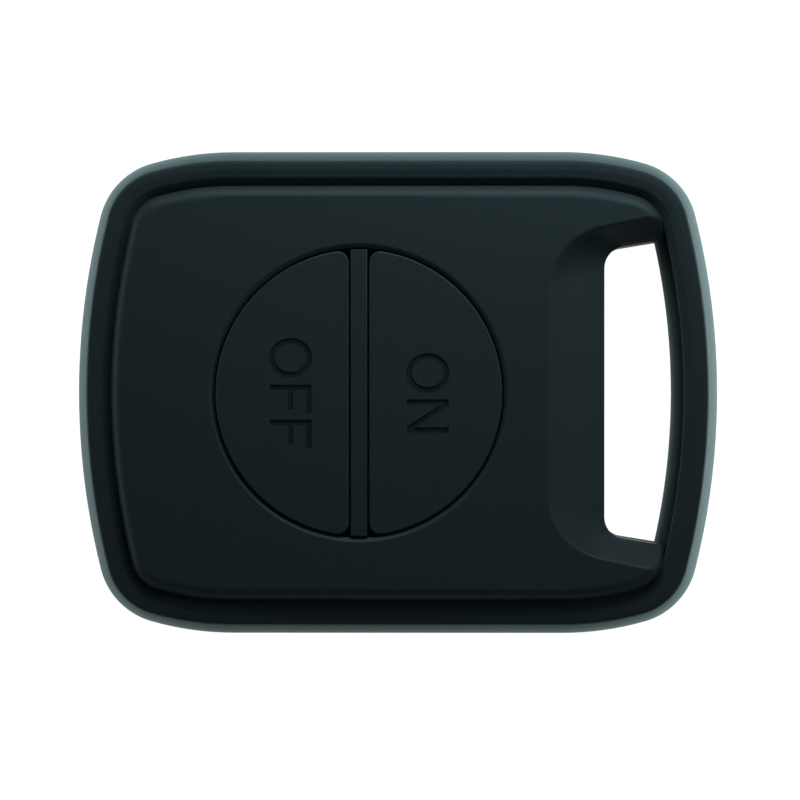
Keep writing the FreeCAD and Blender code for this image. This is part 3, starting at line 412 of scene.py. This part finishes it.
def bumperBand():
    bm = bmesh.new()
    named = bandSection(bm)
    bm.faces.new(loopInOrder(bm))
    for name, offset in band["softEdges"].items():
        bmesh.ops.bevel(bm, geom=[vert for vert in named[name] if vert.is_valid], offset=offset,
                        segments=band["softSteps"], profile=0.5, affect="VERTICES", material=-1)
    bmesh.ops.delete(bm, geom=bm.faces[:], context="FACES_ONLY")
    front = bm.edges[:] + bm.verts[:]
    bmesh.ops.translate(bm, verts=bm.verts, vec=(-outline["straightEnd"], 0, 0))
    down = Vector((0, 0, -1))
    for side in (1, -1):
        def put(centre, up):
            return Vector((centre.x * side, centre.y * side * up, 0))

        edges = [item for item in front if isinstance(item, bmesh.types.BMEdge)]
        grown = bmesh.ops.extrude_edge_only(bm, edges=edges)["geom"]
        front = [item for item in grown if not isinstance(item, bmesh.types.BMFace)]
        bmesh.ops.translate(bm, verts=[v for v in front if isinstance(v, bmesh.types.BMVert)],
                            vec=(2 * side * outline["straightEnd"], 0, 0))
        for centre, up, turn, steps in ((shoulderCentre, 1, "shoulderTurn", "shoulderSteps"),
                                        (cornerCentre, 1, "cornerTurn", "cornerSteps"),
                                        (endCentre, 1, "endTurn", "endSteps"),
                                        (endCentre, 1, "endTurn", "endSteps"),
                                        (cornerCentre, -1, "cornerTurn", "cornerSteps"),
                                        (shoulderCentre, -1, "shoulderTurn", "shoulderSteps")):
            front = bmesh.ops.spin(bm, geom=front, cent=put(centre, up), axis=down,
                                   angle=math.radians(outline[turn]), steps=outline[steps])["geom_last"]
    bmesh.ops.remove_doubles(bm, verts=bm.verts, dist=band["sweepWeld"])
    bmesh.ops.recalc_face_normals(bm, faces=bm.faces)
    mesh = bpy.data.meshes.new("bumperBand")
    bm.to_mesh(mesh)
    bm.free()
    return mesh


shadeTrue(addPiece("bumper_band", bumperBand(), bandMaterial, "housing", "bumper_frame"),
          coverShape["shadeAngle"])
print("bumper band swept")


# keys with engraved words: a letter's up is +X, and a word is read towards -Y

words = {
    "depth": 0.15 * mm,
    "clear": 0.20 * mm,         # how far a cutter stands over the key's face
    "stroke": 0.47 * mm,
    "capital": 3.60 * mm,       # height of F and N
    "roundHeight": 3.70 * mm,   # height of O
    "roundWidth": 3.45 * mm,
    "roundStem": 0.52 * mm,     # its left and right sides are a little heavier
    "roundSegments": 72,
    "wideF": 2.44 * mm,
    "armF": 2.17 * mm,          # length of the middle arm
    "wideN": 2.88 * mm,
    "slantN": 0.55 * mm,        # the slanting stroke measured along the line
    "onMiddle": 2.65 * mm,      # middle of the capitals in x
    "offMiddle": -9.20 * mm,
    "onGap": 0.55 * mm,         # between letters
    "offGap": 0.58 * mm,
    "floorSlack": 0.005 * mm,   # a level face this near the depth is the floor of a stroke
    "level": 0.99,              # the least that such a face's normal points up
}


def outlineF():
    stroke, high, wide, arm = (words[k] for k in ("stroke", "capital", "wideF", "armF"))
    low = (high - stroke) / 2
    return [(0, 0), (stroke, 0), (stroke, low), (arm, low), (arm, low + stroke), (stroke, low + stroke),
            (stroke, high - stroke), (wide, high - stroke), (wide, high), (0, high)]


def outlineN():
    stroke, high, wide, slant = (words[k] for k in ("stroke", "capital", "wideN", "slantN"))
    notch = high * stroke / (wide - slant)
    return [(0, 0), (stroke, 0), (stroke, high - notch), (wide - slant, 0), (wide, 0), (wide, high),
            (wide - stroke, high), (wide - stroke, notch), (slant, high), (0, high)]


# flat letter faces in one bmesh, each letter set after the last
def letterFaces(bm, word, gap):
    along = 0
    for letter in word:
        if letter == "O":
            rings = []
            for stem, stroke in ((0, 0), (words["roundStem"], words["stroke"])):
                ring = bmesh.ops.create_circle(bm, segments=words["roundSegments"], radius=1)["verts"]
                bmesh.ops.scale(bm, verts=ring, vec=(words["roundWidth"] / 2 - stem,
                                                     words["roundHeight"] / 2 - stroke, 1))
                bmesh.ops.translate(bm, verts=ring, vec=(along + words["roundWidth"] / 2,
                                                         words["capital"] / 2, 0))
                rings += ring
            edges = {edge for vert in rings for edge in vert.link_edges}
            bmesh.ops.bridge_loops(bm, edges=list(edges))
            along += words["roundWidth"] + gap
        else:
            corners = outlineF() if letter == "F" else outlineN()
            bm.faces.new([bm.verts.new((along + x, y, 0)) for x, y in corners])
            along += (words["wideF"] if letter == "F" else words["wideN"]) + gap
    return along - gap


# drawn flat and raised, then turned and put over the key
def wordCutter(word, gap, middle, top):
    bm = bmesh.new()
    length = letterFaces(bm, word, gap)
    bmesh.ops.recalc_face_normals(bm, faces=bm.faces)
    solid = bmesh.ops.extrude_face_region(bm, geom=bm.faces[:])["geom"]
    raised = [item for item in solid if isinstance(item, bmesh.types.BMVert)]
    bmesh.ops.translate(bm, verts=raised, vec=(0, 0, words["depth"] + words["clear"]))
    bmesh.ops.recalc_face_normals(bm, faces=bm.faces)
    bmesh.ops.translate(bm, verts=bm.verts, vec=(-length / 2, -words["capital"] / 2, top - words["depth"]))
    bmesh.ops.rotate(bm, verts=bm.verts, cent=(0, 0, 0), matrix=Matrix.Rotation(-math.pi / 2, 3, "Z"))
    bmesh.ops.translate(bm, verts=bm.verts, vec=(middle, 0, 0))
    mesh = bpy.data.meshes.new(word + "_cutter")
    bm.to_mesh(mesh)
    bm.free()
    return mesh


def engrave(mesh, cutterMesh):
    blank = bpy.data.objects.new("blank", mesh)
    cutter = bpy.data.objects.new("cutter", cutterMesh)
    for item in (blank, cutter):
        scene.collection.objects.link(item)
    cut = blank.modifiers.new("cut", "BOOLEAN")
    cut.operation = "DIFFERENCE"
    cut.solver = "EXACT"
    cut.object = cutter
    ready = blank.evaluated_get(bpy.context.evaluated_depsgraph_get())
    engraved = bpy.data.meshes.new_from_object(ready)
    for item in (blank, cutter):
        bpy.data.objects.remove(item)
    bpy.data.meshes.remove(cutterMesh)
    bm = bmesh.new()
    bm.from_mesh(engraved)
    bmesh.ops.remove_doubles(bm, verts=bm.verts, dist=meshSlack["weld"])
    bm.to_mesh(engraved)
    bm.free()
    return engraved


for name, body, word, gap, middle in (
        ("on_key", "on_button", "ON", words["onGap"], words["onMiddle"]),
        ("off_key", "off_button", "OFF", words["offGap"], words["offMiddle"])):
    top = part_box(name)[1][2]
    mesh = engrave(cadCopy(name), wordCutter(word, gap, middle, top))
    key = addPiece(name + "_engraved", mesh, keyMaterial, body, name)
    # the stroke floors take the etched material, whose darker colour is painted shade of the narrow recess
    mesh.materials.append(etchedPaintedShadeMaterial)
    floor = top - words["depth"]
    for face in mesh.polygons:
        if face.normal.z > words["level"] and abs(face.center.z - floor) < words["floorSlack"]:
            face.material_index = 1
    shadeTrue(key, coverShape["shadeAngle"], (levelShape(top), levelShape(floor)))
print("keys engraved")


# what shows only when the housing is open: CAD nodes that keep their shape and get finishes of their own

insideFinishes = {
    # compression-moulded silicone rubber: dark grey, matt, clouded by a little bloom
    "siliconeRubber": {"nodes": ("keypad_mat",), "colour": "#2c2d2f", "contrast": 0.10, "roughness": 0.70,
                       "ior": 1.41, "width": 0.90 * mm, "depth": 0.0020 * mm},
    # black epoxy moulding compound: matt from its filler, the leads bright with tin
    "epoxyMoulding": {"nodes": ("radio_chip", "controller_chip"), "colour": "#17171a", "contrast": 0.12,
                      "roughness": 0.62, "ior": 1.55, "width": 0.12 * mm, "depth": 0.0015 * mm},
    # injection-moulded nylon: near black with a low satin gloss
    "mouldedNylon": {"nodes": ("on_switch_body", "off_switch_body", "on_switch_plunger",
                               "off_switch_plunger"), "colour": "#1d1d20", "contrast": 0.10,
                     "roughness": 0.45, "ior": 1.53, "width": 0.25 * mm, "depth": 0.0010 * mm},
    # sintered ceramic: warm grey-brown and chalky
    "sinteredCeramic": {"nodes": ("chip_parts",), "colour": "#9a8468", "contrast": 0.16, "roughness": 0.58,
                        "ior": 1.70, "width": 0.10 * mm, "depth": 0.0015 * mm},
    # tin-plated sheet steel: rolled, so its fine lines run along X
    "rolledTinplate": {"nodes": ("on_switch_plate", "off_switch_plate", "positive_clip",
                                 "negative_contact"), "colour": "#b9b8b4", "contrast": 0.14, "metallic": 1.0,
                       "roughness": 0.34, "width": 0.09 * mm, "depth": 0.0006 * mm,
                       "stretch": (0.06, 1.0, 1.0)},
    # nickel-plated lid on a ceramic base: pale, faintly yellow, blasted to a fine satin
    "platedLid": {"nodes": ("crystal",), "colour": "#c2bba6", "contrast": 0.08, "metallic": 1.0,
                  "roughness": 0.30, "width": 0.12 * mm, "depth": 0.0005 * mm},
    # drawn copper wire, tinned: bright, with streaks of the die along Y
    "tinnedWire": {"nodes": ("wire_antenna",), "colour": "#c9c4b6", "contrast": 0.12, "metallic": 1.0,
                   "roughness": 0.26, "width": 0.10 * mm, "depth": 0.0006 * mm,
                   "stretch": (1.0, 0.05, 1.0)},
}

# leads and end caps are the same tin on both kinds of part
tinEnds = {
    "colour": "#c4c4c0",
    "roughness": 0.30,
    "leadStart": 1.96 * mm,     # from a chip's middle to the side of its moulding
    "capStart": 0.50 * mm,      # from the middle of the row of chip parts to their end caps
}

boardLaminate = {
    "colour": "#134a2c",        # solder mask over laminate
    "highColour": "#1d6039",    # where the glass threads lift it
    "thread": 0.55 * mm,        # from one thread of the woven glass to the next
    "depth": 0.004 * mm,
    "roughness": 0.38,
    "ior": 1.55,
}

nickelCell = {
    "colour": "#c3c3c0",
    "contrast": 0.08,           # how much darker the hollow of a line is
    "ring": 0.16 * mm,          # from one line of the turned finish to the next
    "depth": 0.0008 * mm,
    "roughness": 0.28,
}

blackZinc = {
    "colour": "#3b3b3e",
    "contrast": 0.20,
    "metallic": 1.0,
    "roughness": 0.36,
    "width": 0.30 * mm,         # patches of the passivated zinc
    "depth": 0.0010 * mm,
    "shadeAngle": 32.0,
}

roughSpread = 0.05              # how far the roughness of the inside goes either way with its pattern


# a colour that wanders a little, a roughness that follows it and a fine relief; a stretch below 1 draws
# the pattern out along that axis; where tin is a socket that is 1, the surface is tinned metal instead
def workedMaterial(name, look, tin=None):
    material, tree = startMaterial(name)
    place = addNode(tree, "ShaderNodeTexCoord")
    lay = addNode(tree, "ShaderNodeMapping", {"Scale": look.get("stretch", (1, 1, 1))},
                  {"Vector": place.outputs["Object"]})
    pattern = addNode(tree, "ShaderNodeTexNoise", {"Scale": 1 / look["width"], "Detail": 3.0},
                      {"Vector": lay.outputs[0]})
    tone = addNode(tree, "ShaderNodeMix",
                   {"data_type": "RGBA", 6: shaded(look["colour"], 1 - look["contrast"]),
                    7: shaded(look["colour"], 1 + look["contrast"])}, {0: pattern.outputs[0]}).outputs[2]
    gloss = addNode(tree, "ShaderNodeMapRange",
                    {"To Min": look["roughness"] - roughSpread, "To Max": look["roughness"] + roughSpread},
                    {"Value": pattern.outputs[0]}).outputs[0]
    relief = addNode(tree, "ShaderNodeBump", {"Strength": 1.0, "Distance": look["depth"]},
                     {"Height": pattern.outputs[0]})
    settings = {"Metallic": look.get("metallic", 0.0), "IOR": look.get("ior", 1.50)}
    links = {"Normal": relief.outputs[0]}
    if tin:
        mask = tin(tree, place)
        tone = addNode(tree, "ShaderNodeMix", {"data_type": "RGBA", 7: toLinear(tinEnds["colour"])},
                       {0: mask, 6: tone}).outputs[2]
        gloss = addNode(tree, "ShaderNodeMix", {3: tinEnds["roughness"]}, {0: mask, 2: gloss}).outputs[0]
        links["Metallic"] = mask
    links.update({"Base Color": tone, "Roughness": gloss})
    endMaterial(tree, addNode(tree, "ShaderNodeBsdfPrincipled", settings, links))
    return material


# 1 where a point lies further along an axis from the node's middle than reach
def beyondMiddle(name, axis, reach):
    low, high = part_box(name)
    middle = (low["XYZ".index(axis)] + high["XYZ".index(axis)]) / 2

    def mask(tree, place):
        split = addNode(tree, "ShaderNodeSeparateXYZ", links={0: place.outputs["Object"]})
        along = addNode(tree, "ShaderNodeMath", {"operation": "SUBTRACT", 1: middle},
                        {0: split.outputs[axis]})
        away = addNode(tree, "ShaderNodeMath", {"operation": "ABSOLUTE"}, {0: along.outputs[0]})
        return addNode(tree, "ShaderNodeMath", {"operation": "GREATER_THAN", 1: reach},
                       {0: away.outputs[0]}).outputs[0]
    return mask


def dressNode(name, material):
    for slot in nodes[name].material_slots:
        slot.material = material


# woven glass under green lacquer: two sets of threads that cross, showing faintly through a low gloss
def laminateMaterial(look):
    material, tree = startMaterial("solderMaskedLaminate")
    place = addNode(tree, "ShaderNodeTexCoord")
    threads = [addNode(tree, "ShaderNodeTexWave",
                       {"bands_direction": axis, "Scale": math.pi / (10 * look["thread"]),
                        "Distortion": 0.6, "Detail": 1.0},
                       {"Vector": place.outputs["Object"]}).outputs[0] for axis in ("X", "Y")]
    weave = addNode(tree, "ShaderNodeMath", {"operation": "MULTIPLY"}, {0: threads[0], 1: threads[1]})
    tone = addNode(tree, "ShaderNodeMix",
                   {"data_type": "RGBA", 6: toLinear(look["colour"]), 7: toLinear(look["highColour"])},
                   {0: weave.outputs[0]})
    relief = addNode(tree, "ShaderNodeBump", {"Strength": 1.0, "Distance": look["depth"]},
                     {"Height": weave.outputs[0]})
    endMaterial(tree, addNode(tree, "ShaderNodeBsdfPrincipled",
                              {"Roughness": look["roughness"], "IOR": look["ior"]},
                              {"Base Color": tone.outputs[2], "Normal": relief.outputs[0]}))
    return material


# nickel-plated steel, turned: rings of fine lines round the cell's own axis
def cellMaterial(look, centre):
    material, tree = startMaterial("turnedNickel")
    place = addNode(tree, "ShaderNodeTexCoord")
    lay = addNode(tree, "ShaderNodeMapping", {"Location": (-centre.x, -centre.y, 0)},
                  {"Vector": place.outputs["Object"]})
    lines = addNode(tree, "ShaderNodeTexWave",
                    {"wave_type": "RINGS", "rings_direction": "Z", "Scale": math.pi / (10 * look["ring"]),
                     "Distortion": 1.2, "Detail": 2.0}, {"Vector": lay.outputs[0]})
    tone = addNode(tree, "ShaderNodeMix",
                   {"data_type": "RGBA", 6: shaded(look["colour"], 1 - look["contrast"]),
                    7: toLinear(look["colour"])}, {0: lines.outputs[0]})
    gloss = addNode(tree, "ShaderNodeMapRange",
                    {"To Min": look["roughness"] - roughSpread, "To Max": look["roughness"] + roughSpread},
                    {"Value": lines.outputs[0]})
    relief = addNode(tree, "ShaderNodeBump", {"Strength": 1.0, "Distance": look["depth"]},
                     {"Height": lines.outputs[0]})
    endMaterial(tree, addNode(tree, "ShaderNodeBsdfPrincipled", {"Metallic": 1.0},
                              {"Base Color": tone.outputs[2], "Roughness": gloss.outputs[0],
                               "Normal": relief.outputs[0]}))
    return material


tinned = {
    "radio_chip": beyondMiddle("radio_chip", "Y", tinEnds["leadStart"]),
    "controller_chip": beyondMiddle("controller_chip", "Y", tinEnds["leadStart"]),
    "chip_parts": beyondMiddle("chip_parts", "X", tinEnds["capStart"]),
}
for finish, look in insideFinishes.items():
    for name in look["nodes"]:
        dressNode(name, workedMaterial(finish, look, tinned.get(name)))
cellLow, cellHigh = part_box("coin_cell")
dressNode("coin_cell", cellMaterial(nickelCell, (Vector(cellLow) + Vector(cellHigh)) / 2))
dressNode("circuit_board", laminateMaterial(boardLaminate))

# black zinc on steel: nearly black, with a faint metal gloss that the passivation clouds
screws = addPiece("cover_screws_dressed", cadCopy("cover_screws"),
                  workedMaterial("blackZincSteel", blackZinc), "housing", "cover_screws")
shadeTrue(screws, blackZinc["shadeAngle"])
print("inside and screws finished")


# floor and light

studio = {
    "floorSize": 3.0,           # metres
    "floorHeight": -0.05 * mm,  # a hair under the remote, so that the two faces don't flicker
    "paper": "#ebebeb",
    "paperShare": 0.12,         # part of the floor that takes shadow
    "glow": 1.12,               # strength of the rest of it, which only shows as background
    "horizon": 0.34,            # world strength near the floor
    "zenith": 0.27,             # and overhead
    "aim": (0.0, 0.0, 8 * mm),  # where every light points
}

# the remote is under 60 mm long, so the lights are small and near, and their watts are few
lights = {
    # the main light, close to the long side that is at the top of the picture
    "softBox": {"place": (12 * mm, 58 * mm, 43 * mm), "size": (100 * mm, 28 * mm), "energy": 0.077},
    # weak ones further off that lift the two ends
    "leftStrip": {"place": (-260 * mm, 20 * mm, 32 * mm), "size": (200 * mm, 30 * mm), "energy": 0.24},
    "rightFill": {"place": (235 * mm, 30 * mm, 150 * mm), "size": (140 * mm, 140 * mm), "energy": 0.13},
    # low strips beside the ends that reach only the band's flanks
    "leftKicker": {"place": (-46 * mm, 0.0, 3 * mm), "size": (60 * mm, 4 * mm), "energy": 0.011},
    "rightKicker": {"place": (46 * mm, 0.0, 3 * mm), "size": (60 * mm, 4 * mm), "energy": 0.023},
}


# white paper: mostly a plain white glow where it is seen or reflected, and a share that takes the shadow
def layFloor():
    bm = bmesh.new()
    bmesh.ops.create_grid(bm, x_segments=1, y_segments=1, size=studio["floorSize"] / 2)
    bmesh.ops.translate(bm, verts=bm.verts, vec=(0, 0, studio["floorHeight"]))
    mesh = bpy.data.meshes.new("studioFloor")
    bm.to_mesh(mesh)
    bm.free()
    floor = bpy.data.objects.new("studioFloor", mesh)
    scene.collection.objects.link(floor)
    material, tree = startMaterial("whitePaper")
    ray = addNode(tree, "ShaderNodeLightPath")
    seen = addNode(tree, "ShaderNodeMath", {"operation": "MAXIMUM"},
                   {0: ray.outputs["Is Camera Ray"], 1: ray.outputs["Is Glossy Ray"]})
    through = addNode(tree, "ShaderNodeMath", {"operation": "MAXIMUM"},
                      {0: seen.outputs[0], 1: ray.outputs["Is Transmission Ray"]})
    share = addNode(tree, "ShaderNodeMath", {"operation": "MULTIPLY", 1: 1 - studio["paperShare"]},
                    {0: through.outputs[0]})
    paper = addNode(tree, "ShaderNodeBsdfDiffuse", {"Color": toLinear(studio["paper"])})
    glow = addNode(tree, "ShaderNodeEmission", {"Strength": studio["glow"]})
    mix = addNode(tree, "ShaderNodeMixShader", links={0: share.outputs[0], 1: paper.outputs[0],
                                                      2: glow.outputs[0]})
    endMaterial(tree, mix)
    mesh.materials.append(material)


def hangLight(name, lamp):
    data = bpy.data.lights.new(name, "AREA")
    data.shape = "RECTANGLE"
    data.size, data.size_y = lamp["size"]
    data.energy = lamp["energy"]
    light = bpy.data.objects.new(name, data)
    place = Vector(lamp["place"])
    light.location = place
    light.rotation_euler = (Vector(studio["aim"]) - place).to_track_quat("-Z", "Y").to_euler()
    light.visible_camera = False
    scene.collection.objects.link(light)


# a dim tent, a little brighter round its foot than overhead
def lightWorld():
    world = bpy.data.worlds.new("softTent")
    world.use_nodes = True
    tree = world.node_tree
    tree.nodes.clear()
    place = addNode(tree, "ShaderNodeTexCoord")
    split = addNode(tree, "ShaderNodeSeparateXYZ", links={0: place.outputs["Generated"]})
    height = addNode(tree, "ShaderNodeMapRange",
                     {"From Max": 0.5, "To Min": studio["horizon"], "To Max": studio["zenith"]},
                     {"Value": split.outputs["Z"]})
    back = addNode(tree, "ShaderNodeBackground", {"Color": (1, 1, 1, 1)}, {"Strength": height.outputs[0]})
    addNode(tree, "ShaderNodeOutputWorld", links={"Surface": back.outputs[0]})
    scene.world = world


layFloor()
lightWorld()
for name, lamp in lights.items():
    hangLight(name, lamp)
print("floor and light ready")
